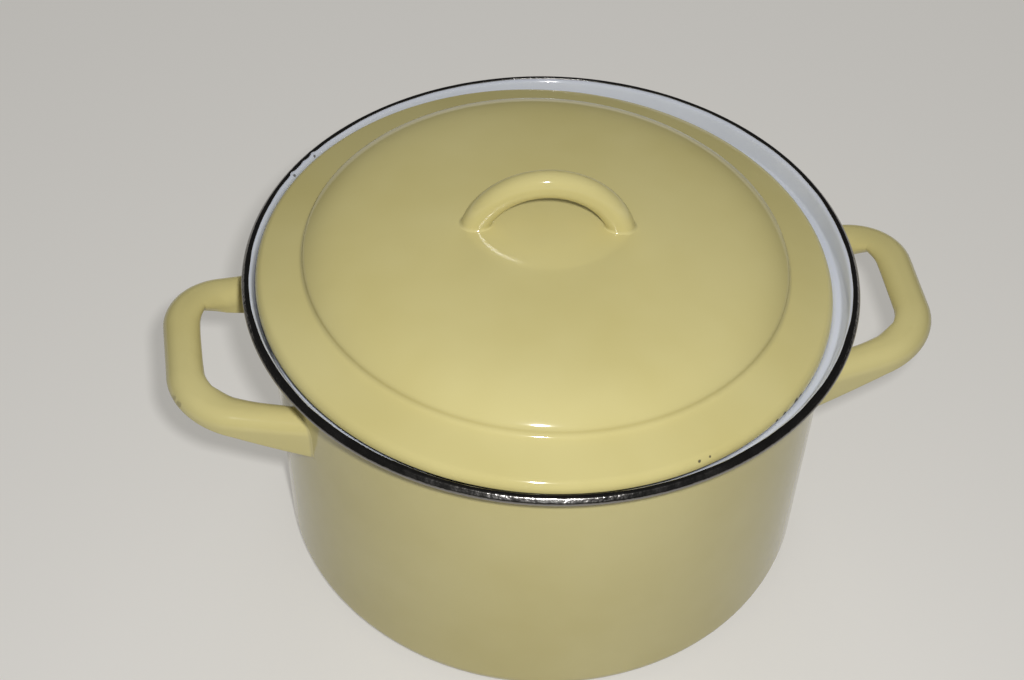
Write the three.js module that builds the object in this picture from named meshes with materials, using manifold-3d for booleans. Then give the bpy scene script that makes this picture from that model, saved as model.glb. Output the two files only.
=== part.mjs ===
// Enamelled steel casserole: a pot drawn from one sheet, a steel band pressed over its lip, two side handles
// welded to its wall, and a loose lid with an arched handle welded on top.
// Millimetres and degrees. Z = 0 is the surface that the pot stands on, and X runs through the side handles.
import * as THREE from "three";
import { mergeVertices } from "three/addons/utils/BufferGeometryUtils.js";
import Module from "manifold-3d";

// Pot. Its sheet counts the enamel on both faces, and its mouth is set by the middle of that sheet.
const wallOuterRadius = 120.4;
const potSheet = 1.8;
const baseCornerRadius = 8;
const lipHeight = 141.5; // middle of the lip above the base
const ledgeWidth = 4.4; // from the wall out to the foot of the mouth
const mouthDepth = 8.2; // from the lip down to the ledge that carries the lid
const mouthFlare = 2.7; // how far the mouth opens on its way up
const lipWidth = 1.5;
const ledgeInnerBend = 2.1;
const ledgeOuterBend = 2.1;
const lipBend = 1;

// Rim band, a channel that grips the lip from outside
const bandSheet = 0.5;
const bandGap = 0.3;
const bandTopLeg = 3.1;
const bandUnderLeg = 2.2;
const bandOverhang = 1.65; // lip's edge to the middle of the band's outer side
const bandBend = 0.6;
const bandSlant = 1.5; // width and height of the slanted face that joins its top and its outer side
const bandSlantBend = 1.2;

// Lid, from its skirt inwards
const lidSheet = 1.6;
const lidPlay = 1; // between the skirt and the foot of the mouth, all round, with the lid in the middle
const lidSeatGap = 0.3;
const skirtHeight = 4.5; // its foot up to the corner where the skirt would meet the border
const skirtLean = 0.4;
const borderWidth = 19.6; // from that corner in to the crease
const borderFall = 5.7;
const stepHeight = 3.2; // crease up to the dome's shoulder
const stepLean = 0.2;
const domeCamber = 6.5; // slow rise of the whole dome
const domeRoll = 6.5; // further rise, most of it just inside the shoulder
const domeRollPower = 12;
const shoulderBend = 2.5;
const creaseBend = 2.4;
const rollBend = 4.5;
const lidShift = 2.4; // how far the lid lies to one side
const lidShiftBearing = 178;
const lidTilt = 1.55; // the lid has ridden up the flare on that side
const lidTurn = -6.7;

// Side handles, pressed channels that are open beneath. Each is deep at the wall and shallow at the grip.
const rightHandleBearing = -2.7;
const leftHandleBearing = 183.3;
const handleDrop = 27; // lip down to the top of the handle at the wall
const handleRise = 7.3; // from there up to the top of the grip
const handleBow = 0.4; // how much of that climb comes late, where 0 is a straight climb
const handleReach = 36.9; // wall to the middle of the grip
const armSpacing = 90.6; // between the middles of the arms at the wall
const gripLength = 65; // between the corners of the middle line
const handleBend = 22;
const cornerFill = 3.4; // how far the crown swells on the inside of the corners
const cornerFillReach = 28; // from a corner of the middle line to the end of that swelling
const armWidth = 14;
const gripWidth = 16;
const armDepth = 19;
const gripDepth = 6.5;
const edgeStraight = 0.6; // lower edge that is left unbent
const handleCrown = 7;
const flangeTuck = 0.9; // how sharply the inner flange's lower edge turns the corners, up to 1
const flangeTuckPower = 1.5;
const handleSheet = 1.6;

// Lid handle, a sheet rolled to a round bar with a slot beneath, and bent to an arch
const archSpan = 60; // between the middles of the feet
const archRise = 21.7; // dome at the feet up to the middle of the bar
const archBar = 11.8; // thickness of the bar in the plane of the arch
const archWidth = 10.2;
const archRoll = 5; // bend of the bar's four corners
const archSlot = 3.4;
const archSheet = 1.6;
const footFlare = 0.5; // how much the bar widens on each side where it meets the lid
const footLength = 6;

const weldGap = 0.3; // between a welded piece and what carries it

// Fineness of the round forms
const turnSegments = 60;
const bendStep = 2.5;
const handleBendStep = 5;
const handleSideStep = 8;
const crownSteps = 4;
const domeSteps = 12;
const archSteps = 18;

// Limits that keep bends and mitres in shape
const leastBendSteps = 2;
const endSide = 0.9;
const leastPointGap = 0.01;
const leastMitre = 0.5;

const yellowEnamel = { color: 0xd3c98c, roughness: 0.16, metalness: 0 };
const rimSteel = { color: 0x3a3632, roughness: 0.28, metalness: 1 };

const wasm = await Module();
wasm.setup();

const radians = THREE.MathUtils.degToRad;
const point = (x, y) => new THREE.Vector2(x, y);

// Points along a line through corners, in which each corner is rounded to its own bend radius.
// Two bends share the side between them by their radii, and a bend leaves a little of a line's end side.
function bentLine(corners, step) {
  const points = [corners[0].at];
  for (let i = 1; i + 1 < corners.length; i++) {
    const { at, bend } = corners[i];
    const back = corners[i - 1].at.clone().sub(at);
    const ahead = corners[i + 1].at.clone().sub(at);
    const half = Math.abs(back.angleTo(ahead)) / 2;
    const share = (next) => (next.bend ? bend / (bend + next.bend) : endSide);
    const backRoom = back.length() * share(corners[i - 1]);
    const aheadRoom = ahead.length() * share(corners[i + 1]);
    const tangent = Math.min(bend / Math.tan(half), backRoom, aheadRoom);
    const radius = tangent * Math.tan(half);
    const start = at.clone().addScaledVector(back.normalize(), tangent);
    const end = at.clone().addScaledVector(ahead.normalize(), tangent);
    const inward = back.clone().add(ahead).normalize();
    const centre = at.clone().addScaledVector(inward, radius / Math.sin(half));
    const from = start.sub(centre);
    const to = end.sub(centre);
    const arc = new THREE.ArcCurve(centre.x, centre.y, radius, from.angle(), to.angle(), from.cross(to) < 0);
    points.push(...arc.getPoints(Math.max(leastBendSteps, Math.round(arc.getLength() / step))));
  }
  points.push(corners.at(-1).at);
  return points.filter((p, i) => i === 0 || p.distanceTo(points[i - 1]) > leastPointGap);
}

// The same line with its longer sides split.
function splitSides(points, longest) {
  return points.flatMap((p, i) => {
    if (i === 0) return [p];
    const count = Math.ceil(p.distanceTo(points[i - 1]) / longest);
    return Array.from({ length: count }, (_, k) => points[i - 1].clone().lerp(p, (k + 1) / count));
  });
}

// Directions along a line of points, each the mean of the two sides that meet there.
function directions(points) {
  return points.map((p, i) => {
    const before = i > 0 ? p.clone().sub(points[i - 1]).normalize() : point(0, 0);
    const after = i + 1 < points.length ? points[i + 1].clone().sub(p).normalize() : point(0, 0);
    return before.add(after).normalize();
  });
}

// The line moved sideways, to its left where distance is positive. A point on the axis stays there.
function besideLine(points, distance) {
  const along = directions(points);
  return points.map((p, i) => {
    if (p.x === 0) return point(0, p.y + distance);
    const side = i > 0 ? p.clone().sub(points[i - 1]).normalize() : along[i];
    const mitre = distance / Math.max(along[i].dot(side), leastMitre);
    return point(p.x - along[i].y * mitre, p.y + along[i].x * mitre);
  });
}

// A profile of radius and height turned about the Z axis.
function turned(profile) {
  return new THREE.LatheGeometry(profile, turnSegments).rotateX(Math.PI / 2);
}

// The outline of a sheet: out along its left face and back along its right face.
function sheetOutline(left, right) {
  return [...left, ...right.toReversed()];
}

// A skin over a row of sections. Each section lists the outer face and then, backwards, the inner face.
function loft(sections) {
  const count = sections[0].length;
  const last = (sections.length - 1) * count;
  const index = [];
  for (let row = 0; row < last; row += count) {
    for (let j = 0; j < count; j++) {
      const a = row + j;
      const b = row + ((j + 1) % count);
      index.push(a, b, b + count, a, b + count, a + count);
    }
  }
  for (let j = 0; j + 1 < count / 2; j++) {
    const a = j;
    const b = j + 1;
    const c = count - 2 - j;
    const d = count - 1 - j;
    index.push(a, c, b, a, d, c);
    index.push(last + a, last + b, last + c, last + a, last + c, last + d);
  }
  const geometry = new THREE.BufferGeometry().setFromPoints(sections.flat());
  return geometry.setIndex(index);
}

function solidOf(geometry) {
  const bare = new THREE.BufferGeometry();
  bare.setAttribute("position", geometry.getAttribute("position"));
  bare.setIndex(geometry.index);
  const merged = mergeVertices(bare, leastPointGap);
  const vertProperties = merged.getAttribute("position").array;
  const triVerts = new Uint32Array(merged.index.array);
  return new wasm.Manifold(new wasm.Mesh({ numProp: 3, vertProperties, triVerts }));
}

function geometryOf(solid) {
  const { vertProperties, triVerts } = solid.getMesh();
  const geometry = new THREE.BufferGeometry();
  geometry.setAttribute("position", new THREE.BufferAttribute(vertProperties, 3));
  geometry.setIndex(new THREE.BufferAttribute(triVerts, 1));
  return geometry;
}

function piece(name, geometry, look) {
  const mesh = new THREE.Mesh(geometry, new THREE.MeshStandardMaterial(look));
  mesh.name = name;
  return mesh;
}

// One face of a channel, over its top from one lower edge to the other: u across, v up from the top.
// The crown bends down no further than the depth leaves room for.
function channelFace(width, depth, crown, top) {
  const bend = Math.max(Math.min(crown, width / 2), leastPointGap);
  const fall = Math.min(bend, Math.max(depth + top - edgeStraight, leastPointGap));
  const start = Math.asin(1 - fall / bend);
  const bent = Array.from({ length: crownSteps + 1 }, (_, k) => {
    const angle = start + (Math.PI / 2 - start) * (k / crownSteps);
    return point(width / 2 - bend + bend * Math.cos(angle), top - bend + bend * Math.sin(angle));
  });
  const half = [point(bent[0].x, -depth), ...bent];
  return [...half, ...half.toReversed().map(({ x, y }) => point(-x, y))];
}

// A channel's section: its outer face and then, backwards, its inner face.
function channel(width, depth, crown, sheet) {
  const outer = channelFace(width, depth, crown, 0);
  const inner = channelFace(width - 2 * sheet, depth, crown - sheet, -sheet);
  return [...outer, ...inner.toReversed()];
}

// One face of a rolled bar, set in from its outside, from one edge of the slot beneath round to the other.
function barFace(width, depth, roll, slot, inset) {
  const bend = Math.max(Math.min(roll, (width - slot) / 2, depth / 2), inset + leastPointGap);
  const face = [point(slot / 2, inset - depth)];
  for (let quarter = 0; quarter < 4; quarter++) {
    const across = (quarter < 2 ? 1 : -1) * (width / 2 - bend);
    const height = quarter === 1 || quarter === 2 ? -bend : bend - depth;
    for (let k = 0; k <= crownSteps; k++) {
      const angle = (Math.PI / 2) * (quarter - 1 + k / crownSteps);
      const reach = bend - inset;
      face.push(point(across + reach * Math.cos(angle), height + reach * Math.sin(angle)));
    }
  }
  face.push(point(-slot / 2, inset - depth));
  return face;
}

// A rolled bar's section: its outer face and then, backwards, its inner face.
function rolledBar(width, depth, roll, slot, sheet) {
  return [...barFace(width, depth, roll, slot, 0), ...barFace(width, depth, roll, slot, sheet).toReversed()];
}

// Pot: the middle of its sheet, from the centre of the base to the lip
const wallMiddle = wallOuterRadius - potSheet / 2;
const ledgeHeight = lipHeight - mouthDepth;
const mouthFoot = wallMiddle + ledgeWidth;
const mouthTop = mouthFoot + mouthFlare;
const lipEnd = mouthTop + lipWidth;

function potBody() {
  const middle = bentLine(
    [
      { at: point(0, potSheet / 2) },
      { at: point(wallMiddle, potSheet / 2), bend: baseCornerRadius - potSheet / 2 },
      { at: point(wallMiddle, ledgeHeight), bend: ledgeInnerBend },
      { at: point(mouthFoot, ledgeHeight), bend: ledgeOuterBend },
      { at: point(mouthTop, lipHeight), bend: lipBend },
      { at: point(lipEnd, lipHeight) },
    ],
    bendStep,
  );
  const inside = besideLine(middle, potSheet / 2);
  const outside = besideLine(middle, -potSheet / 2);
  return piece("pot_body", turned(sheetOutline(outside, inside)), yellowEnamel);
}

// Rim band: legs above and below the lip, joined beyond the lip's edge
function rimBand() {
  const legOffset = potSheet / 2 + bandGap + bandSheet / 2;
  const edge = lipEnd + bandOverhang;
  const outer = edge + bandSheet / 2;
  const middle = bentLine(
    [
      { at: point(outer - bandUnderLeg, lipHeight - legOffset) },
      { at: point(edge, lipHeight - legOffset), bend: bandBend },
      { at: point(edge, lipHeight + legOffset - bandSlant), bend: bandSlantBend },
      { at: point(edge - bandSlant, lipHeight + legOffset), bend: bandSlantBend },
      { at: point(outer - bandTopLeg, lipHeight + legOffset) },
    ],
    bendStep,
  );
  const inner = besideLine(middle, bandSheet / 2);
  const outline = sheetOutline(besideLine(middle, -bandSheet / 2), inner);
  return piece("rim_band", turned([...outline, outline[0]]), rimSteel);
}

// Lid: the outer face of its sheet, set from its seat on the ledge
const skirtFoot = ledgeHeight + potSheet / 2 + lidSeatGap;
const lidRadius = mouthFoot - potSheet / 2 - lidPlay;
const rollCorner = point(lidRadius - skirtLean, skirtFoot + skirtHeight);
const creaseCorner = point(rollCorner.x - borderWidth, rollCorner.y + borderFall);
const shoulderCorner = point(creaseCorner.x - stepLean, creaseCorner.y + stepHeight);
const crownHeight = shoulderCorner.y + domeRoll + domeCamber;

function domeHeight(radius) {
  const share = radius / shoulderCorner.x;
  return crownHeight - domeCamber * share ** 2 - domeRoll * share ** domeRollPower;
}

// Points on the dome from its crown out to a radius, closer together outwards.
function domeLine(radius, raise) {
  return Array.from({ length: domeSteps + 1 }, (_, k) => {
    const r = radius * Math.sin((Math.PI / 2) * (k / domeSteps));
    return point(r, domeHeight(r) + raise);
  });
}

function lid() {
  const dome = domeLine(shoulderCorner.x - shoulderBend / 2, 0);
  const border = bentLine(
    [
      { at: dome.at(-1) },
      { at: shoulderCorner, bend: shoulderBend },
      { at: creaseCorner, bend: creaseBend },
      { at: rollCorner, bend: rollBend },
      { at: point(lidRadius, skirtFoot) },
    ],
    bendStep,
  );
  const outside = [...dome, ...border.slice(1)];
  const inside = besideLine(outside, -lidSheet);
  const foot = inside.at(-1);
  inside[inside.length - 1] = point(foot.x, skirtFoot);
  return piece("lid", turned(sheetOutline(outside, inside).toReversed()), yellowEnamel);
}

// Lid handle: an arc through both feet and the top of the arch, cut off just above the dome
function lidHandle() {
  const halfSpan = archSpan / 2;
  const radius = (halfSpan ** 2 + archRise ** 2) / (2 * archRise);
  const centreHeight = domeHeight(halfSpan) + archRise - radius;
  const footAngle = Math.asin(1 - archRise / radius);
  const endAngle = footAngle - footLength / radius;
  const sweep = Math.PI - 2 * endAngle;
  const sections = Array.from({ length: archSteps + 1 }, (_, k) => {
    const angle = endAngle + (sweep * k) / archSteps;
    const aboveFoot = radius * Math.max(0, Math.min(angle, Math.PI - angle) - footAngle);
    const widen = 2 * footFlare * Math.max(0, 1 - aboveFoot / footLength) ** 2;
    const depth = archBar + widen / 2;
    const section = rolledBar(archWidth + widen, depth, archRoll + widen / 2, archSlot, archSheet);
    return section.map(({ x: u, y: v }) => {
      const out = radius + depth / 2 + v;
      return new THREE.Vector3(out * Math.cos(angle), -u, centreHeight + out * Math.sin(angle));
    });
  });
  const cutRadius = shoulderCorner.x;
  const cutFloor = point(cutRadius, skirtFoot - archSpan);
  const cutTop = domeLine(cutRadius, weldGap).toReversed();
  const underDome = turned([point(0, cutFloor.y), cutFloor, ...cutTop]);
  return piece("lid_handle", geometryOf(solidOf(loft(sections)).subtract(solidOf(underDome))), yellowEnamel);
}

// Side handle, pointing along X: arms out of the wall, round corners and a straight grip
function sideHandle(name) {
  const gripAt = wallOuterRadius + handleReach;
  const armFoot = Math.sqrt(wallMiddle ** 2 - (armSpacing / 2) ** 2) - armWidth;
  const corners = [point(gripAt, -gripLength / 2), point(gripAt, gripLength / 2)];
  const bent = bentLine(
    [
      { at: point(armFoot, -armSpacing / 2) },
      { at: corners[0], bend: handleBend },
      { at: corners[1], bend: handleBend },
      { at: point(armFoot, armSpacing / 2) },
    ],
    handleBendStep,
  );
  const line = splitSides(bent, handleSideStep);
  const along = directions(line);
  const straights = [along[0], point(0, 1), along.at(-1)];
  const wallLine = Math.sqrt(wallOuterRadius ** 2 - (armSpacing / 2) ** 2);
  const sections = line.map((at, i) => {
    const share = (at.x - wallLine) / (gripAt - wallLine);
    const mix = (atWall, atGrip) => THREE.MathUtils.lerp(atWall, atGrip, share);
    const top = lipHeight - handleDrop + handleRise * share * (1 - handleBow * (1 - share));
    const width = mix(armWidth, gripWidth);
    const depth = mix(armDepth, gripDepth);
    const turn = Math.min(...straights.map((straight) => straight.angleTo(along[i])));
    const offCorner = Math.min(...corners.map((corner) => corner.distanceTo(at)));
    const fill = cornerFill * Math.max(0, 1 - (offCorner / cornerFillReach) ** 2) ** 2;
    const tuck = fill + flangeTuck * (handleBend - width / 2) * (1 / Math.cos(turn) - 1);
    return channel(width, depth, handleCrown, handleSheet).map(({ x, y: v }) => {
      const u = x > 0 ? x * (1 + (2 * fill) / width) - tuck * (-v / depth) ** flangeTuckPower : x;
      return new THREE.Vector3(at.x - along[i].y * u, at.y + along[i].x * u, top + v);
    });
  });
  const cutRadius = wallOuterRadius + weldGap;
  const wall = turned([point(0, 0), point(cutRadius, 0), point(cutRadius, lipHeight), point(0, lipHeight)]);
  return piece(name, geometryOf(solidOf(loft(sections)).subtract(solidOf(wall))), yellowEnamel);
}

const casserole = new THREE.Group();
casserole.add(potBody(), rimBand());

const rightHandle = sideHandle("right_handle");
rightHandle.rotation.z = radians(rightHandleBearing);
const leftHandle = sideHandle("left_handle");
leftHandle.rotation.z = radians(leftHandleBearing);
casserole.add(rightHandle, leftHandle);

// The lid is tilted about the middle of its foot. Its low side rests on the ledge's rounded inner edge.
const edgeRound = ledgeInnerBend + potSheet / 2 + lidSeatGap;
const offLedge = Math.min(edgeRound, wallMiddle + ledgeInnerBend - (lidRadius - lidShift));
const edgeDrop = edgeRound - Math.sqrt(edgeRound ** 2 - offLedge ** 2);
const lidLift = lidRadius * Math.sin(radians(lidTilt)) - edgeDrop;
const looseLid = new THREE.Group();
looseLid.add(lid(), lidHandle());
const upright = new THREE.Vector3(0, 0, 1);
const aside = new THREE.Vector3(1, 0, 0).applyAxisAngle(upright, radians(lidShiftBearing));
const tiltAxis = aside.clone().cross(upright);
const footMiddle = upright.clone().multiplyScalar(skirtFoot);
looseLid.rotateOnAxis(tiltAxis, radians(lidTilt));
looseLid.rotateOnAxis(upright, radians(lidTurn));
looseLid.position.copy(footMiddle).sub(footMiddle.clone().applyQuaternion(looseLid.quaternion));
looseLid.position.addScaledVector(aside, lidShift);
looseLid.position.addScaledVector(upright, lidLift);
casserole.add(looseLid);

export default casserole;
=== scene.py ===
import math

import bpy
import numpy as np
from mathutils import Matrix, Vector


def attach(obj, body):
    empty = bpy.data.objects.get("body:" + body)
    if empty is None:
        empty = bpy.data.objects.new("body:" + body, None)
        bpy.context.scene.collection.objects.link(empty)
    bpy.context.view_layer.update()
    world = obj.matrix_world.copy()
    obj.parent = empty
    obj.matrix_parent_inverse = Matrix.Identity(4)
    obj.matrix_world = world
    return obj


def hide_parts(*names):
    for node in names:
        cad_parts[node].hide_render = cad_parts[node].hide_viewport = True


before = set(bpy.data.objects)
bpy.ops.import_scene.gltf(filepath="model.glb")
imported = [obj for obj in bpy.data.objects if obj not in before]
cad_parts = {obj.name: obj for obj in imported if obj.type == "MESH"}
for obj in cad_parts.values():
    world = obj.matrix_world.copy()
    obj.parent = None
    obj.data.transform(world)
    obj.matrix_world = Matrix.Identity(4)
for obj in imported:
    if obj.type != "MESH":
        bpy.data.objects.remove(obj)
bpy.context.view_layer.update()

# An enamelled steel casserole. Sizes are millimetres and degrees, in the frame of the solids.
MM = 0.001

# Pot, set by the middle of its sheet
WALL_RADIUS = 120.4
POT_SHEET = 1.8
BASE_CORNER = 8.0
LIP_HEIGHT = 141.5
LEDGE_WIDTH = 4.4
MOUTH_DEPTH = 8.2
MOUTH_FLARE = 2.7
LIP_WIDTH = 1.5
LEDGE_BEND = 2.1
LIP_BEND = 1.0
WALL_MIDDLE = WALL_RADIUS - POT_SHEET / 2
LEDGE_HEIGHT = LIP_HEIGHT - MOUTH_DEPTH
MOUTH_FOOT = WALL_MIDDLE + LEDGE_WIDTH
MOUTH_TOP = MOUTH_FOOT + MOUTH_FLARE
LIP_END = MOUTH_TOP + LIP_WIDTH
WALL_WAVE = 0.10  # how far a drawn and fired wall strays from round
WALL_RIPPLES = ((3, 1.0, 0.6, 60.0), (7, 0.6, 2.1, -35.0))  # waves round, strength, start, height of a twist
WAVE_FADE = 4  # power of the radius by which the waves fade out towards the axis

# Rim band
BAND_SHEET = 0.5
BAND_GAP = 0.15
BAND_TOP_LEG = 3.1
BAND_UNDER_LEG = 2.2
BAND_OVERHANG = 1.65
BAND_BEND = 0.55
BAND_SLANT = 1.5
BAND_SLANT_BEND = 1.2
BAND_FIRM = 1.2  # how far in from its outside the band's top keeps its form
BAND_EDGE_WAVE = 0.08  # unevenness of the edge that was rolled over the lip
BAND_WAVES = ((11, 1.0, 1.0), (23, 0.8, 0.4), (41, 0.7, 2.7))  # waves round, strength, start
BAND_NICKS = ((139.4, 1.0), (142.4, 0.5), (146.6, 0.9))  # bearing and depth of the nicks in that edge
BAND_NICK_WIDTH = 0.7

# Lid, by the outside of its sheet
LID_SHEET = 1.6
LID_RADIUS = 122.0
SKIRT_FOOT = 134.5
SKIRT_HEIGHT = 4.5
SKIRT_LEAN = 0.4
BORDER_WIDTH = 19.6
BORDER_FALL = 5.7
STEP_HEIGHT = 3.2
STEP_LEAN = 0.2
DOME_CAMBER = 6.5
DOME_ROLL = 6.5
DOME_ROLL_POWER = 12
SHOULDER_BEND = 2.5
CREASE_BEND = 2.4
ROLL_BEND = 4.5
ROLL_CORNER = (LID_RADIUS - SKIRT_LEAN, SKIRT_FOOT + SKIRT_HEIGHT)
CREASE_CORNER = (ROLL_CORNER[0] - BORDER_WIDTH, ROLL_CORNER[1] + BORDER_FALL)
SHOULDER_CORNER = (CREASE_CORNER[0] - STEP_LEAN, CREASE_CORNER[1] + STEP_HEIGHT)
CROWN_HEIGHT = SHOULDER_CORNER[1] + DOME_ROLL + DOME_CAMBER

# How the lid lies in the mouth
LID_SHIFT = 2.4
LID_SHIFT_BEARING = 178.0
LID_TILT = 1.55
LID_LIFT = 2.625  # of the middle of its foot, with its low side on the ledge's rounded edge
LID_TURN = -6.7

# Side handles
HANDLE_BEARINGS = {"right_handle": -2.7, "left_handle": 183.3}
HANDLE_DROP = 27.0
HANDLE_RISE = 7.3
HANDLE_BOW = 0.4  # share of the climb that is held back near the wall
HANDLE_REACH = 36.9
ARM_SPACING = 90.6
GRIP_LENGTH = 65.0
HANDLE_BEND = 22.0
CORNER_FILL = 3.4
CORNER_FILL_REACH = 28.0
ARM_WIDTH = 14.0
GRIP_WIDTH = 16.0
ARM_DEPTH = 19.0
GRIP_DEPTH = 6.5
FLANGE_TUCK = 0.9
FLANGE_TUCK_POWER = 1.5
EDGE_STRAIGHT = 0.6
HANDLE_CROWN = 7.0
HANDLE_SHEET = 1.6
HANDLE_SINK = 0.2  # how far a handle's ends lie beneath the wall's face
WELD_FILLET = 1.0  # enamel that has run into the corner between an arm and the wall
GRIP_AT = WALL_RADIUS + HANDLE_REACH

# Lid handle
ARCH_SPAN = 60.0
ARCH_RISE = 21.7
ARCH_BAR = 11.8
ARCH_WIDTH = 10.2
ARCH_ROLL = 5.0
ARCH_SLOT = 3.4
ARCH_SHEET = 1.6
FOOT_FILLET = 1.2  # enamel that has run into the corner between the bar and the lid
FOOT_SINK = 0.03  # how far that enamel reaches into the lid's face
SLOT_CLOSING = 14.0  # height over which the slot opens above a foot
SLOT_LEAST = 0.08  # share of the slot's width at a foot

# Where the enamel is chipped, as bearings and sizes. The lid lost some at the foot of its skirt, and two
# specks above. The left grip is scuffed at its outer near corner, and the white coat is chipped beside the
# band's nicks.
FOOT_CHIPS = ((-35.8, 1.4), (-37.5, 1.9), (-41.5, 1.4), (-43.9, 1.2))
FOOT_CHIP_HEIGHT = 0.9
SPECKS = ((-63.2, 0.9), (-60.9, 0.7))
SPECK_HEIGHT = 3.6
SPECK_INSET = 1.1
GRIP_SCUFFS = ((192.5, 2.4), (193.8, 2.2), (194.9, 1.6))
SCUFF_RADIUS = 163.5
SCUFF_HEIGHT = 116.5
LIP_CHIPS = ((139.4, 1.0), (146.6, 1.2))
LIP_CHIP_INSET = 0.6

# Sizes of the patterns in the finishes
CHIP_GRAIN = 1.3
CHIP_BORDER = 1.35  # radius at which a chip has faded out, as a share of its own
DRIFT_SIZE = 70.0
SMEAR_SIZE = 28.0
PEEL_SIZE = 5.0
PEEL_HEIGHT = 0.04
DENT_SIZE = 2.0
DENT_DEPTH = 0.2
HAZE_SIZE = 9.0

# Fineness
TURN_STEPS = 288
BAND_TURN_STEPS = 720
EDGE_ANGLE = 50.0  # edges sharper than this are not smoothed
LINE_STEP = 0.8
BAND_STEP = 0.2
HANDLE_STEP = 0.6
DOME_STEP = 2.0
THINNING = 5  # of so many points inside a straight stretch of the pot, one is kept
STRAIGHT_COSINE = 1 - 1e-9
LEAST_GAP = 0.004
LEAST_BEND = 0.05
ARC_STEPS = 4  # at least, on any arc
ROUND_POINTS = 9  # round a sheet's edge, and on each corner of the rolled bar
CROWN_POINTS = 13
FLANK_POINTS = 6
FILLET_POINTS = 13
ARCH_POINTS = 41
MEETING_START = 0.6  # radians
MEETING_ROUNDS = 12

# Camera, fitted to the rim and the base
IMAGE_WIDTH = 1024
FOCAL_PIXELS = 1586.45
SENSOR_WIDTH = 36.0
CAMERA_PLACE = (-89.6, -483.2, 601.0)
CAMERA_PITCH = 45.94
CAMERA_HEADING = 8.67
CAMERA_ROLL = 1.18
VIEW_REACH = 50000.0

# Studio. The camera's lamp is placed from the camera, and the others from the pot.
FLOOR_REACH = 6000.0
CAMERA_LAMP_RIGHT = 30.0
CAMERA_LAMP_UP = 28.0
CAMERA_LAMP_SIZE = 34.0
CAMERA_LAMP_WATTS = 3.5
FRONT_LAMP_PLACE = (-400.0, -1300.0, 1800.0)
FRONT_LAMP_SIZE = 1600.0
FRONT_LAMP_WATTS = 1.0
BACK_LAMP_PLACE = (500.0, 1900.0, 750.0)
BACK_LAMP_SIZE = 1400.0
BACK_LAMP_WATTS = 9.0
SURROUND = 0.13
MIRRORED_SURROUND = 0.03


def straight(start, end, step):
    """Points from start up to, and without, end at about one step apart."""
    count = max(1, math.ceil(np.linalg.norm(end - start) / step))
    return start + (end - start) * np.linspace(0, 1, count + 1)[:-1, None]


def bent_line(corners, step=LINE_STEP):
    """Points along a line through (x, y, bend) corners: straight stretches cut into steps, and at each corner
    an arc that touches both sides, of the corner's own bend radius."""
    at = np.array([c[:2] for c in corners], float)
    stretches = []
    start = at[0]
    for i in range(1, len(corners) - 1):
        bend = corners[i][2]
        back = at[i - 1] - at[i]
        ahead = at[i + 1] - at[i]
        back /= np.linalg.norm(back)
        ahead /= np.linalg.norm(ahead)
        half = math.acos(np.clip(back @ ahead, -1, 1)) / 2
        tangent = bend / math.tan(half)
        middle = (back + ahead) / np.linalg.norm(back + ahead)
        centre = at[i] + middle * bend / math.sin(half)
        first = at[i] + back * tangent
        last = at[i] + ahead * tangent
        stretches.append(straight(start, first, step))
        swing = math.pi - 2 * half
        count = max(ARC_STEPS, math.ceil(swing * bend / (step / 2)))
        share = np.linspace(0, 1, count + 1)[:, None]
        spread = np.sin((1 - share) * swing) * (first - centre) + np.sin(share * swing) * (last - centre)
        stretches.append((centre + spread / math.sin(swing))[:-1])
        start = last
    stretches.append(straight(start, at[-1], step))
    stretches.append(at[-1:])
    line = np.concatenate(stretches)
    keep = np.append(True, np.linalg.norm(np.diff(line, axis=0), axis=1) > LEAST_GAP)
    return line[keep]


def directions(line):
    """The unit direction of a line at each of its points."""
    along = np.gradient(line, axis=0)
    return along / np.linalg.norm(along, axis=1)[:, None]


def beside(line, distance):
    """The line moved along its left normal, which is its direction turned a quarter turn."""
    return line + distance * directions(line)[:, ::-1] * [-1, 1]


def worth_keeping(line):
    """Which points a line needs: every one at a bend or next to it, and one in a few inside a straight."""
    along = np.diff(line, axis=0)
    along /= np.linalg.norm(along, axis=1)[:, None]
    bent = np.ones(len(line), bool)
    bent[1:-1] = np.sum(along[1:] * along[:-1], axis=1) < STRAIGHT_COSINE
    near = bent.copy()
    near[1:] |= bent[:-1]
    near[:-1] |= bent[1:]
    return near | (np.arange(len(line)) % THINNING == 0)


def round_edge(first, last, outward):
    """A half circle from one face of a sheet round its edge to the other face, without its two ends."""
    middle = (first + last) / 2
    radius = np.linalg.norm(last - first) / 2
    swing = np.linspace(0, math.pi, ROUND_POINTS)[1:-1, None]
    return middle + (first - middle) * np.cos(swing) + outward * radius * np.sin(swing)


def quads(rows, columns, close_rows=False, close_columns=False):
    """Corner numbers of the faces of a grid of points, row by row, closed on itself where asked."""
    r = np.arange(rows if close_rows else rows - 1)[:, None]
    c = np.arange(columns if close_columns else columns - 1)[None, :]
    r_next = (r + 1) % rows
    c_next = (c + 1) % columns
    corners = [r * columns + c, r * columns + c_next, r_next * columns + c_next, r_next * columns + c]
    return np.stack([k + 0 * r + 0 * c for k in corners], axis=-1).reshape(-1, 4)


def tube_faces(points):
    """Faces of rings of points along a path: the sides, and at both ends a cap of strips, each from the first
    half of the ring, which is its outer face, to the second half."""
    rings, count = points.shape[:2]
    sides = quads(rings, count, close_columns=True)
    here = np.arange(count // 2 - 1)
    first = np.stack([here, count - 1 - here, count - 2 - here, here + 1], axis=1)
    last = first[:, ::-1] + (rings - 1) * count
    return [*sides, *first, *last]


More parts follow.
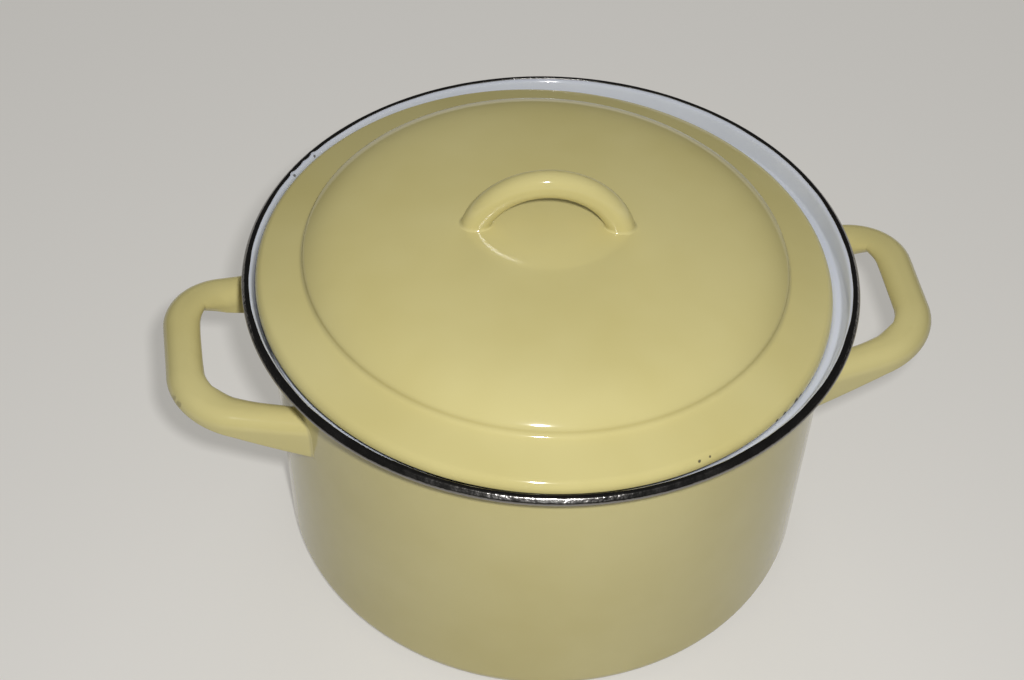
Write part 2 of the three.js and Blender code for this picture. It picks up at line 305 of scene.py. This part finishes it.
def add_piece(name, points, faces, materials, face_material=None):
    """A smooth mesh at the origin, from points in millimetres."""
    mesh = bpy.data.meshes.new(name)
    mesh.from_pydata((points * MM).tolist(), [], [f.tolist() for f in faces])
    for material in materials:
        mesh.materials.append(material)
    if face_material is not None:
        mesh.polygons.foreach_set("material_index", face_material.astype(np.int32))
    mesh.shade_smooth()
    mesh.set_sharp_from_angle(angle=math.radians(EDGE_ANGLE))
    mesh.validate()
    piece = bpy.data.objects.new(name, mesh)
    bpy.context.scene.collection.objects.link(piece)
    return piece


def turned_points(profile, wave=0.0, steps=TURN_STEPS):
    """Rows of a profile (radius, height) turned about Z: x = r cos a, y = r sin a. The wave adds a few slow
    sines round the turn to the radius, which fade out towards the axis."""
    angle = np.linspace(0, 2 * math.pi, steps, endpoint=False)[None, :]
    radius = profile[:, :1]
    height = profile[:, 1:]
    ripple = sum(
        strength * np.sin(count * angle + start + height / twist)
        for count, strength, start, twist in WALL_RIPPLES
    )
    radius = radius + wave * ripple * np.clip(radius / WALL_RADIUS, 0, 1) ** WAVE_FADE
    rows = np.broadcast_arrays(radius * np.cos(angle), radius * np.sin(angle), height)
    return np.stack(rows, axis=-1)


def poles(rows, first_height, last_height):
    """Points and end faces of a turned surface that a fan of triangles closes on the axis at both ends."""
    count, columns = rows.shape[:2]
    ends = np.array([[0, 0, first_height], [0, 0, last_height]], float)
    points = np.concatenate([rows.reshape(-1, 3), ends])
    here = np.arange(columns)
    after = (here + 1) % columns
    pole = np.full(columns, count * columns)
    first = np.stack([pole, here, after], axis=1)
    last = np.stack([pole + 1, after, here], axis=1) + np.array([0, 1, 1]) * (count - 1) * columns
    return points, first, last


def in_place(points):
    """Points that stay where they are."""
    return points


def sheet_turned(name, near, far, materials, wave=0.0, place=in_place):
    """A turned sheet: the near face outwards from the axis, round its edge, and the far face back to it. The
    near face and half the edge take the first material, and the rest the second."""
    out = near[-1] - near[-2]
    edge = round_edge(near[-1], far[-1], out / np.linalg.norm(out))
    profile = np.concatenate([near[1:], edge, far[:0:-1]])
    rows = turned_points(profile, wave)
    points, first, last = poles(rows, near[0, 1], far[0, 1])
    sides = quads(len(profile), TURN_STEPS, close_columns=True)[:, ::-1]
    split = len(near) - 1 + len(edge) // 2
    row_of = np.arange(len(sides)) // TURN_STEPS
    is_far = np.concatenate([row_of >= split, np.zeros(len(first)), np.ones(len(last))])
    return add_piece(name, place(points), [*sides, *first, *last], materials, is_far)


def linear(hex_colour):
    """An sRGB hex colour as linear red, green, blue and alpha."""
    srgb = np.array([int(hex_colour[k:k + 2], 16) for k in (0, 2, 4)]) / 255
    low = srgb / 12.92
    high = ((srgb + 0.055) / 1.055) ** 2.4
    return (*np.where(srgb <= 0.04045, low, high).tolist(), 1.0)


def node(tree, kind, inputs=None, **settings):
    """Adds a node with its settings. An input is a value, or an output socket that is linked to it."""
    made = tree.nodes.new(kind)
    for key, value in settings.items():
        setattr(made, key, value)
    for key, value in (inputs or {}).items():
        if isinstance(value, bpy.types.NodeSocket):
            tree.links.new(value, made.inputs[key])
        else:
            made.inputs[key].default_value = value
    return made


def per_metre(size_mm):
    """The scale of a pattern whose features repeat about every size_mm."""
    return 1 / (size_mm * MM)


def new_material(name):
    """An empty node material and its tree."""
    material = bpy.data.materials.new(name)
    material.use_nodes = True
    material.node_tree.nodes.clear()
    return material, material.node_tree


def chips(tree, place, spots):
    """How much of the enamel has broken away, from 0 to 1. It is full within each spot's radius and has a
    ragged border. Where spots overlap, the deeper one counts."""
    grain = node(tree, "ShaderNodeTexNoise", {"Vector": place, "Scale": per_metre(CHIP_GRAIN), "Detail": 3.0})
    total = None
    for at, radius, strength in spots:
        middle = tuple(c * MM for c in at)
        away = node(tree, "ShaderNodeVectorMath", {0: place, 1: middle}, operation="DISTANCE")
        ragged = node(tree, "ShaderNodeMath", {
            0: grain.outputs["Fac"],
            1: radius * MM,
            2: away.outputs["Value"],
        }, operation="MULTIPLY_ADD")
        broken = node(tree, "ShaderNodeMapRange", {
            "Value": ragged.outputs[0],
            "From Min": CHIP_BORDER * radius * MM,
            "From Max": radius * MM,
            "To Max": strength,
        }).outputs[0]
        if total is not None:
            broken = node(tree, "ShaderNodeMath", {0: total, 1: broken}, operation="MAXIMUM").outputs[0]
        total = broken
    return total


def fired_enamel(name, body_hex, thin_hex, chip_hex, spots):
    """Vitreous enamel, sprayed on drawn steel and fired to glass. It shows an even colour that drifts a
    little with its thickness, a faint orange peel, dark chips at its edges, and a sharp gloss that handling
    dulls in patches."""
    material, tree = new_material(name)
    place = node(tree, "ShaderNodeTexCoord").outputs["Object"]
    drift = node(tree, "ShaderNodeTexNoise", {
        "Vector": place,
        "Scale": per_metre(DRIFT_SIZE),
        "Detail": 3.0,
    })
    tone = node(tree, "ShaderNodeValToRGB", {"Fac": drift.outputs["Fac"]})
    tone.color_ramp.elements[0].position = 0.3
    tone.color_ramp.elements[0].color = linear(thin_hex)
    tone.color_ramp.elements[1].position = 0.62
    tone.color_ramp.elements[1].color = linear(body_hex)
    broken = chips(tree, place, spots)
    colour = node(tree, "ShaderNodeMix", {
        "Factor": broken,
        "A": tone.outputs["Color"],
        "B": linear(chip_hex),
    }, data_type="RGBA")
    smears = node(tree, "ShaderNodeTexNoise", {
        "Vector": place,
        "Scale": per_metre(SMEAR_SIZE),
        "Detail": 5.0,
    })
    gloss = node(tree, "ShaderNodeMapRange", {
        "Value": smears.outputs["Fac"],
        "From Min": 0.35,
        "From Max": 0.75,
        "To Min": 0.05,
        "To Max": 0.12,
    })
    rough = node(tree, "ShaderNodeMath", {0: broken, 1: 0.5, 2: gloss.outputs[0]}, operation="MULTIPLY_ADD")
    peel = node(tree, "ShaderNodeTexNoise", {"Vector": place, "Scale": per_metre(PEEL_SIZE), "Detail": 1.0})
    skin = node(tree, "ShaderNodeBump", {
        "Height": peel.outputs["Fac"],
        "Strength": 0.3,
        "Distance": PEEL_HEIGHT * MM,
    })
    shader = node(tree, "ShaderNodeBsdfPrincipled", {
        "Base Color": colour.outputs["Result"],
        "IOR": 1.5,
        "Roughness": rough.outputs[0],
        "Normal": skin.outputs[0],
    })
    node(tree, "ShaderNodeOutputMaterial", {"Surface": shader.outputs[0]})
    return material


def rolled_steel(name, steel_hex):
    """Stainless strip, polished and rolled over the lip. It shows a near-black mirror of what stands round
    it, broken by the small dents that the roller left and by a haze that wiping leaves in patches."""
    material, tree = new_material(name)
    place = node(tree, "ShaderNodeTexCoord").outputs["Object"]
    dents = node(tree, "ShaderNodeTexNoise", {"Vector": place, "Scale": per_metre(DENT_SIZE), "Detail": 3.0})
    bumps = node(tree, "ShaderNodeBump", {
        "Height": dents.outputs["Fac"],
        "Strength": 1.0,
        "Distance": DENT_DEPTH * MM,
    })
    haze = node(tree, "ShaderNodeTexNoise", {"Vector": place, "Scale": per_metre(HAZE_SIZE), "Detail": 4.0})
    rough = node(tree, "ShaderNodeMapRange", {
        "Value": haze.outputs["Fac"],
        "From Min": 0.3,
        "From Max": 0.7,
        "To Min": 0.14,
        "To Max": 0.28,
    })
    shader = node(tree, "ShaderNodeBsdfPrincipled", {
        "Base Color": linear(steel_hex),
        "Metallic": 1.0,
        "Roughness": rough.outputs[0],
        "Normal": bumps.outputs[0],
    })
    node(tree, "ShaderNodeOutputMaterial", {"Surface": shader.outputs[0]})
    return material


def matt_floor(name, floor_hex, veil_hex):
    """Matt painted board, with no gloss. To the eye and in a mirror a pale veil evens it out."""
    material, tree = new_material(name)
    rays = node(tree, "ShaderNodeLightPath")
    mirrored = node(tree, "ShaderNodeMath", {
        0: rays.outputs["Is Glossy Ray"],
        1: rays.outputs["Is Transmission Ray"],
    }, operation="MAXIMUM")
    seen = node(tree, "ShaderNodeMath", {
        0: rays.outputs["Is Camera Ray"],
        1: mirrored.outputs[0],
    }, operation="MAXIMUM")
    board = node(tree, "ShaderNodeBsdfDiffuse", {"Color": linear(floor_hex)})
    veil = node(tree, "ShaderNodeEmission", {"Color": linear(veil_hex), "Strength": seen.outputs[0]})
    shader = node(tree, "ShaderNodeAddShader", {0: board.outputs[0], 1: veil.outputs[0]})
    node(tree, "ShaderNodeOutputMaterial", {"Surface": shader.outputs[0]})
    return material


def around(bearing, radius, height):
    """The place at a bearing, radius and height round the Z axis."""
    angle = math.radians(bearing)
    return np.array([radius * math.cos(angle), radius * math.sin(angle), height])


def seated(points):
    """Lid points where the lid lies: turned about its axis, tilted about the middle of its foot so that the
    side it has slid to is raised, shifted to that side, and lifted."""
    aside = Vector(around(LID_SHIFT_BEARING, 1, 0))
    tilt = Matrix.Rotation(math.radians(LID_TILT), 3, aside.cross(Vector((0, 0, 1))))
    turn = Matrix.Rotation(math.radians(LID_TURN), 3, "Z")
    foot = np.array([0, 0, SKIRT_FOOT])
    place = LID_SHIFT * np.array(aside) + [0, 0, SKIRT_FOOT + LID_LIFT]
    return (points - foot) @ np.array(tilt @ turn).T + place


def yellow_chips():
    """Place, radius and depth of each chip in the yellow coat."""
    foot_at = (LID_RADIUS, SKIRT_FOOT + FOOT_CHIP_HEIGHT)
    speck_at = (LID_RADIUS - SPECK_INSET, SKIRT_FOOT + SPECK_HEIGHT)
    scuff_at = (SCUFF_RADIUS, SCUFF_HEIGHT)
    return [
        *((seated(around(bearing, *foot_at)), size, 1.0) for bearing, size in FOOT_CHIPS),
        *((seated(around(bearing, *speck_at)), size, 0.9) for bearing, size in SPECKS),
        *((around(bearing, *scuff_at), size, 0.4) for bearing, size in GRIP_SCUFFS),
    ]


def white_chips():
    """Place, radius and depth of each chip in the white coat."""
    lip_at = (MOUTH_TOP - LIP_CHIP_INSET, LIP_HEIGHT)
    return [(around(bearing, *lip_at), size, 0.9) for bearing, size in LIP_CHIPS]


YELLOW = fired_enamel("vitreous_enamel_pale_yellow_fired", "d3c88c", "ccc081", "4c4638", yellow_chips())
WHITE = fired_enamel("vitreous_enamel_white_fired", "d6dae4", "cdd2dd", "5c5a58", white_chips())
STEEL = rolled_steel("stainless_steel_strip_rolled", "8c8986")
FLOOR = matt_floor("matt_painted_board", "b4b2ae", "989692")


def pot():
    """The pot's sheet, on both sides of a middle line from the base's centre, up the wall, out over the ledge
    and up the flared mouth to the lip. Outside it is yellow, and inside white."""
    middle = bent_line([
        (0, POT_SHEET / 2),
        (WALL_MIDDLE, POT_SHEET / 2, BASE_CORNER - POT_SHEET / 2),
        (WALL_MIDDLE, LEDGE_HEIGHT, LEDGE_BEND),
        (MOUTH_FOOT, LEDGE_HEIGHT, LEDGE_BEND),
        (MOUTH_TOP, LIP_HEIGHT, LIP_BEND),
        (LIP_END, LIP_HEIGHT),
    ])
    keep = worth_keeping(middle)
    outside = beside(middle, -POT_SHEET / 2)[keep]
    inside = beside(middle, POT_SHEET / 2)[keep]
    outside[0, 0] = 0
    inside[0, 0] = 0
    return sheet_turned("pot_shell", outside, inside, [YELLOW, WHITE], wave=WALL_WAVE)


def rim_band():
    """A strip bent to a channel over the lip and turned about Z. Its top edge wanders in and out by a sum of
    sines, and each nick in it is a bell curve."""
    leg = POT_SHEET / 2 + BAND_GAP + BAND_SHEET / 2
    edge = LIP_END + BAND_OVERHANG
    outer = edge + BAND_SHEET / 2
    middle = bent_line([
        (outer - BAND_UNDER_LEG, LIP_HEIGHT - leg),
        (edge, LIP_HEIGHT - leg, BAND_BEND),
        (edge, LIP_HEIGHT + leg - BAND_SLANT, BAND_SLANT_BEND),
        (edge - BAND_SLANT, LIP_HEIGHT + leg, BAND_SLANT_BEND),
        (outer - BAND_TOP_LEG, LIP_HEIGHT + leg),
    ], BAND_STEP)
    outside = beside(middle, -BAND_SHEET / 2)
    inside = beside(middle, BAND_SHEET / 2)
    inwards = np.array([-1.0, 0.0])
    top = round_edge(outside[-1], inside[-1], inwards)
    foot = round_edge(inside[0], outside[0], inwards)
    profile = np.concatenate([outside, top, inside[::-1], foot])
    rows = turned_points(profile, steps=BAND_TURN_STEPS)
    angle = np.linspace(0, 2 * math.pi, BAND_TURN_STEPS, endpoint=False)[None, :]
    waves = sum(strength * np.sin(count * angle + start) for count, strength, start in BAND_WAVES)
    bearing = np.degrees(angle)
    nicks = sum(deep * np.exp(-((bearing - at) / BAND_NICK_WIDTH) ** 2) for at, deep in BAND_NICKS)
    in_from_firm = np.clip((outer - BAND_FIRM - profile[:, :1]) / (BAND_TOP_LEG - BAND_FIRM), 0, 1)
    top_share = in_from_firm * (profile[:, 1:] > LIP_HEIGHT)
    wander = (BAND_EDGE_WAVE * waves - nicks) * top_share
    rows[..., 0] -= wander * np.cos(angle)
    rows[..., 1] -= wander * np.sin(angle)
    faces = quads(len(profile), BAND_TURN_STEPS, close_rows=True, close_columns=True)[:, ::-1]
    return add_piece("band_strip", rows.reshape(-1, 3), faces, [STEEL])


def dome_height(radius):
    """From the crown down to the shoulder: a parabola, less a high power of the radius that rolls it off."""
    share = radius / SHOULDER_CORNER[0]
    return CROWN_HEIGHT - DOME_CAMBER * share ** 2 - DOME_ROLL * share ** DOME_ROLL_POWER


def lid():
    """The lid's sheet, from the crown down the dome, over the shoulder into the crease, across the border
    and down the skirt. Its outside is yellow, and its underside white."""
    dome_edge = SHOULDER_CORNER[0] - SHOULDER_BEND / 2
    radius = dome_edge * np.sin(np.linspace(0, math.pi / 2, math.ceil(dome_edge / DOME_STEP) + 1))
    dome = np.stack([radius, dome_height(radius)], axis=1)
    border = bent_line([
        (*dome[-1],),
        (*SHOULDER_CORNER, SHOULDER_BEND),
        (*CREASE_CORNER, CREASE_BEND),
        (*ROLL_CORNER, ROLL_BEND),
        (LID_RADIUS, SKIRT_FOOT + LID_SHEET / 2),
    ])
    outside = np.concatenate([dome, border[1:]])
    inside = beside(outside, -LID_SHEET)
    inside[0, 0] = 0
    return sheet_turned("lid_shell", outside, inside, [YELLOW, WHITE], place=seated)


def rounded_bar(inset):
    """Half-open outline of the rolled bar, set in by inset: from one edge of the slot beneath, round four
    corners of one roll radius, to the slot's other edge. Columns are across and up from the bar's top."""
    quarter = np.repeat(np.arange(4), ROUND_POINTS)
    angle = math.pi / 2 * (quarter - 1 + np.tile(np.linspace(0, 1, ROUND_POINTS), 4))
    across = np.where(quarter < 2, 1, -1) * (ARCH_WIDTH / 2 - ARCH_ROLL)
    height = np.where((quarter == 1) | (quarter == 2), -ARCH_ROLL, ARCH_ROLL - ARCH_BAR)
    reach = ARCH_ROLL - inset
    corners = np.stack([across + reach * np.cos(angle), height + reach * np.sin(angle)], axis=1)
    first = np.array([[ARCH_SLOT / 2, inset - ARCH_BAR]])
    return np.concatenate([first, corners, first * [-1, 1]])


def meeting_angle(reach, across, centre, raise_by):
    """Where a circle of radius reach about the arch's centre comes down to the dome, or to a height above it.
    Each round puts the dome's height at the last angle back into the circle's equation."""
    angle = np.full_like(reach, MEETING_START)
    for _ in range(MEETING_ROUNDS):
        level = dome_height(np.hypot(reach * np.cos(angle), across)) + raise_by - centre
        angle = np.arcsin(np.clip(level / reach, -1, 1))
    return angle


def arch_angles(reach, across, centre):
    """For every line along the bar, its angles about the arch's centre from foot to foot, and how far the bar
    spreads at each. Just above the dome both follow a quarter circle of the fillet's radius."""
    foot = meeting_angle(reach, across, centre, 0.0)
    free = meeting_angle(reach, across, centre, FOOT_FILLET)
    swing = np.linspace(0, math.pi / 2, FILLET_POINTS)[:-1, None]
    fillet_angle = foot + (free - foot) * (1 - np.cos(swing))
    free_angle = free + (math.pi / 2 - free) * np.linspace(0, 1, ARCH_POINTS)[:, None]
    half_angle = np.concatenate([fillet_angle, free_angle])
    half_spread = np.concatenate([FOOT_FILLET * (1 - np.sin(swing)), np.zeros((ARCH_POINTS, 1))])
    angle = np.concatenate([half_angle, math.pi - half_angle[-2::-1]])
    spread = np.concatenate([half_spread, half_spread[-2::-1]])
    return angle, spread


def lid_handle():
    """A rolled bar carried along an arc from foot to foot. Each line along the bar ends where it meets the
    dome, and near the dome the bar spreads by a quarter circle, as the enamel does that filled the corner.
    The slot beneath closes towards the feet."""
    half = ARCH_SPAN / 2
    radius = (half ** 2 + ARCH_RISE ** 2) / (2 * ARCH_RISE)
    centre = dome_height(half) + ARCH_RISE - radius
    outer = rounded_bar(0)
    inner = rounded_bar(ARCH_SHEET)
    ring = np.concatenate([outer, inner[::-1]])
    is_outer = (np.arange(len(ring)) < len(outer))[None, :]
    is_slot = np.isclose(np.abs(ring[:, 0]), ARCH_SLOT / 2)[None, :]
    across = ring[None, :, 0]
    reach = radius + ARCH_BAR / 2 + ring[None, :, 1]
    angle, spread = arch_angles(reach, across, centre)
    spread = spread * is_outer
    x = reach * np.cos(angle)
    z = centre + reach * np.sin(angle)
    above = z - dome_height(np.hypot(x, across))
    y = -across * np.where(is_slot, np.clip(above / SLOT_CLOSING, SLOT_LEAST, 1), 1)
    side = np.sign(np.cos(angle))
    away_x = x - side * np.sqrt(np.clip(radius ** 2 - (z - centre) ** 2, 0, None))
    away = np.stack([away_x, y], axis=-1)
    away /= np.linalg.norm(away, axis=-1, keepdims=True)
    x = x + spread * away[..., 0]
    y = y + spread * away[..., 1]
    z = np.where(spread > 0, dome_height(np.hypot(x, y)) + above - FOOT_SINK, z)
    points = np.stack([x, y, z], axis=-1)
    return add_piece("lid_bow_handle", seated(points).reshape(-1, 3), tube_faces(points), [YELLOW])


def channel_side(width, depth, crown, drop):
    """Half of a channel's face, from its lower edge up its side and round the crown to the middle of the top.
    The crown comes down no further than the depth leaves room for. Width and depth are columns with one value
    per section."""
    bend = np.minimum(crown, width / 2 - LEAST_BEND)
    fall = np.clip(depth - drop - EDGE_STRAIGHT, LEAST_BEND, bend)
    start = np.arcsin(1 - fall / bend)
    angle = start + (math.pi / 2 - start) * np.linspace(0, 1, CROWN_POINTS)[None, :]
    arc = np.stack([width / 2 - bend + bend * np.cos(angle), -drop - bend + bend * np.sin(angle)], axis=-1)
    low = np.linspace(0, 1, FLANK_POINTS)[None, :-1]
    edge = -depth + low * (arc[:, :1, 1] + depth)
    return np.concatenate([np.stack([arc[:, :1, 0] + 0 * low, edge], axis=-1), arc], axis=1)


def channel_face(width, depth, crown, drop):
    """One face of a channel, over its top from the inner side's lower edge to the outer side's."""
    side = channel_side(width, depth, crown, drop)
    return np.concatenate([side, side[:, ::-1] * [-1, 1]], axis=1)


def round_foot(first, last):
    """Half circles below the lower edges of a sheet, from one face to the other, without their ends."""
    swing = np.linspace(0, math.pi, ROUND_POINTS)[None, 1:-1, None]
    middle = (first + last) / 2
    half = (first - last) / 2
    below = np.linalg.norm(half, axis=-1, keepdims=True) * [0, -1]
    return middle + half * np.cos(swing) + below * np.sin(swing)


def handle_line():
    """A handle's middle line in plan: out of the wall, round two corners, along the grip and back."""
    arm_foot = math.sqrt(WALL_MIDDLE ** 2 - (ARM_SPACING / 2) ** 2) - ARM_WIDTH
    return bent_line([
        (arm_foot, -ARM_SPACING / 2),
        (GRIP_AT, -GRIP_LENGTH / 2, HANDLE_BEND),
        (GRIP_AT, GRIP_LENGTH / 2, HANDLE_BEND),
        (arm_foot, ARM_SPACING / 2),
    ], HANDLE_STEP)


def handle_sections(line, width, depth):
    """Closed sections of a handle's channel, across and up from its top, and how many of a section's points
    are on the outer face. At the corners of the handle the inner side swells by a smooth hump, and its lower
    edge is tucked back under the swell, the more the lower it lies."""
    edge_depth = depth - HANDLE_SHEET / 2
    outer = channel_face(width, edge_depth, HANDLE_CROWN, 0)
    inner = channel_face(width - 2 * HANDLE_SHEET, edge_depth, HANDLE_CROWN - HANDLE_SHEET, HANDLE_SHEET)
    ring = np.concatenate([
        outer,
        round_foot(outer[:, -1:], inner[:, -1:]),
        inner[:, ::-1],
        round_foot(inner[:, :1], outer[:, :1]),
    ], axis=1)
    along = directions(line)
    straights = np.stack([along[0], [0.0, 1.0], along[-1]])
    turn = np.arccos(np.clip(along @ straights.T, -1, 1)).min(axis=1, keepdims=True)
    off_corner = np.hypot(line[:, :1] - GRIP_AT, np.abs(line[:, 1:]) - GRIP_LENGTH / 2)
    fill = CORNER_FILL * np.clip(1 - (off_corner / CORNER_FILL_REACH) ** 2, 0, None) ** 2
    tuck = fill + FLANGE_TUCK * (HANDLE_BEND - width / 2) * (1 / np.cos(turn) - 1)
    low = (-ring[..., 1] / depth).clip(0, 1) ** FLANGE_TUCK_POWER
    ring[..., 0] += (ring[..., 0] > 0) * (fill * 2 * ring[..., 0] / width - tuck * low)
    return ring, outer.shape[1]


def wall_face(y):
    """How far out the wall lies at a distance y from the handle's middle, less the handle's sink."""
    return np.sqrt(np.clip((WALL_RADIUS - HANDLE_SINK) ** 2 - y ** 2, 0, None))


def side_handle(name):
    """A channel carried along the handle's middle line. With the distance from the wall its width and depth
    change evenly, and its top climbs, mostly towards the grip. Near the wall its outer face spreads by a
    quarter circle, and its ends lie on the wall."""
    line = handle_line()
    along = directions(line)
    wall_line = math.sqrt(WALL_RADIUS ** 2 - (ARM_SPACING / 2) ** 2)
    share = (line[:, :1] - wall_line) / (GRIP_AT - wall_line)
    width = ARM_WIDTH + (GRIP_WIDTH - ARM_WIDTH) * share
    depth = ARM_DEPTH + (GRIP_DEPTH - ARM_DEPTH) * share
    top = LIP_HEIGHT - HANDLE_DROP + HANDLE_RISE * share * (1 - HANDLE_BOW * (1 - share))
    ring, outer_count = handle_sections(line, width, depth)
    facing = np.gradient(ring, axis=1)[..., ::-1] * [1, -1]
    facing /= np.linalg.norm(facing, axis=-1, keepdims=True)
    x = line[:, :1] - along[:, 1:] * ring[..., 0]
    y = line[:, 1:] + along[:, :1] * ring[..., 0]
    near = np.clip(1 - (x - wall_face(y)) / WELD_FILLET, 0, 1)
    spread = WELD_FILLET * (1 - np.sqrt(1 - near ** 2)) * (np.arange(ring.shape[1]) < outer_count)
    x = x - along[:, 1:] * spread * facing[..., 0]
    y = y + along[:, :1] * spread * facing[..., 0]
    z = top + ring[..., 1] + spread * facing[..., 1]
    x = np.maximum(x, wall_face(y))
    bearing = math.radians(HANDLE_BEARINGS[name])
    points = np.stack([
        x * math.cos(bearing) - y * math.sin(bearing),
        x * math.sin(bearing) + y * math.cos(bearing),
        z,
    ], axis=-1)
    return add_piece(name + "_bow", points.reshape(-1, 3), tube_faces(points), [YELLOW])


def stand_for(piece, body, cad_node):
    """Puts a piece on its body, in place of its solid, which it hides."""
    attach(piece, body)
    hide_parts(cad_node)


stand_for(pot(), "pot", "pot_body")
stand_for(rim_band(), "pot", "rim_band")
stand_for(lid(), "lid", "lid")
stand_for(lid_handle(), "lid", "lid_handle")
for handle in HANDLE_BEARINGS:
    stand_for(side_handle(handle), "pot", handle)


def floor():
    """A wide flat square under the pot."""
    corners = FLOOR_REACH * np.array([[-1, -1, 0], [1, -1, 0], [1, 1, 0], [-1, 1, 0]])
    piece = add_piece("floor", corners, [np.arange(4)], [FLOOR])


def camera():
    """Looks down at the pot from the front, turned by its heading about Z, its pitch and a small roll. Gives
    its place and its right and up directions."""
    pitch = math.radians(CAMERA_PITCH)
    heading = math.radians(CAMERA_HEADING)
    roll = math.radians(CAMERA_ROLL)
    level_ahead = Vector((math.sin(heading), math.cos(heading), 0))
    ahead = level_ahead * math.cos(pitch) - Vector((0, 0, math.sin(pitch)))
    level = ahead.cross(Vector((0, 0, 1))).normalized()
    upright = level.cross(ahead)
    right = math.cos(roll) * level + math.sin(roll) * upright
    up = -math.sin(roll) * level + math.cos(roll) * upright
    data = bpy.data.cameras.new("camera")
    data.sensor_fit = "HORIZONTAL"
    data.sensor_width = SENSOR_WIDTH
    data.lens = FOCAL_PIXELS / IMAGE_WIDTH * SENSOR_WIDTH
    data.clip_end = VIEW_REACH * MM
    made = bpy.data.objects.new("camera", data)
    place = Vector(CAMERA_PLACE)
    turn = Matrix((right, up, -ahead)).transposed().to_4x4()
    made.matrix_world = Matrix.Translation(place * MM) @ turn
    bpy.context.scene.collection.objects.link(made)
    bpy.context.scene.camera = made
    return place, right, up


def lamp(name, place, size, watts, mirrored=True):
    """A round soft lamp that faces the middle of the pot's mouth. It has no mirror image where it is not to
    be seen in the gloss."""
    data = bpy.data.lights.new(name, "AREA")
    data.shape = "DISK"
    data.size = size * MM
    data.energy = watts
    made = bpy.data.objects.new(name, data)
    made.visible_glossy = mirrored
    made.location = Vector(place) * MM
    made.rotation_mode = "QUATERNION"
    made.rotation_quaternion = (Vector((0, 0, LIP_HEIGHT)) - Vector(place)).to_track_quat("-Z", "Y")
    bpy.context.scene.collection.objects.link(made)


def surround():
    """An even grey world, which the gloss mirrors as a darker one."""
    world = bpy.data.worlds.new("studio")
    bpy.context.scene.world = world
    world.use_nodes = True
    tree = world.node_tree
    tree.nodes.clear()
    rays = node(tree, "ShaderNodeLightPath")
    soft = node(tree, "ShaderNodeBackground", {"Color": linear("ffffff"), "Strength": SURROUND})
    dark = node(tree, "ShaderNodeBackground", {"Color": linear("ffffff"), "Strength": MIRRORED_SURROUND})
    seen = node(tree, "ShaderNodeMixShader", {
        0: rays.outputs["Is Glossy Ray"],
        1: soft.outputs[0],
        2: dark.outputs[0],
    })
    node(tree, "ShaderNodeOutputWorld", {"Surface": seen.outputs[0]})


def studio():
    """A lamp beside the camera, wide soft lamps above the front and low behind, and the surround."""
    place, right, up = camera()
    beside_camera = place + right * CAMERA_LAMP_RIGHT + up * CAMERA_LAMP_UP
    lamp("camera_lamp", beside_camera, CAMERA_LAMP_SIZE, CAMERA_LAMP_WATTS)
    lamp("front_lamp", FRONT_LAMP_PLACE, FRONT_LAMP_SIZE, FRONT_LAMP_WATTS, mirrored=False)
    lamp("back_lamp", BACK_LAMP_PLACE, BACK_LAMP_SIZE, BACK_LAMP_WATTS, mirrored=False)
    surround()
    bpy.context.scene.view_settings.view_transform = "Standard"


floor()
studio()
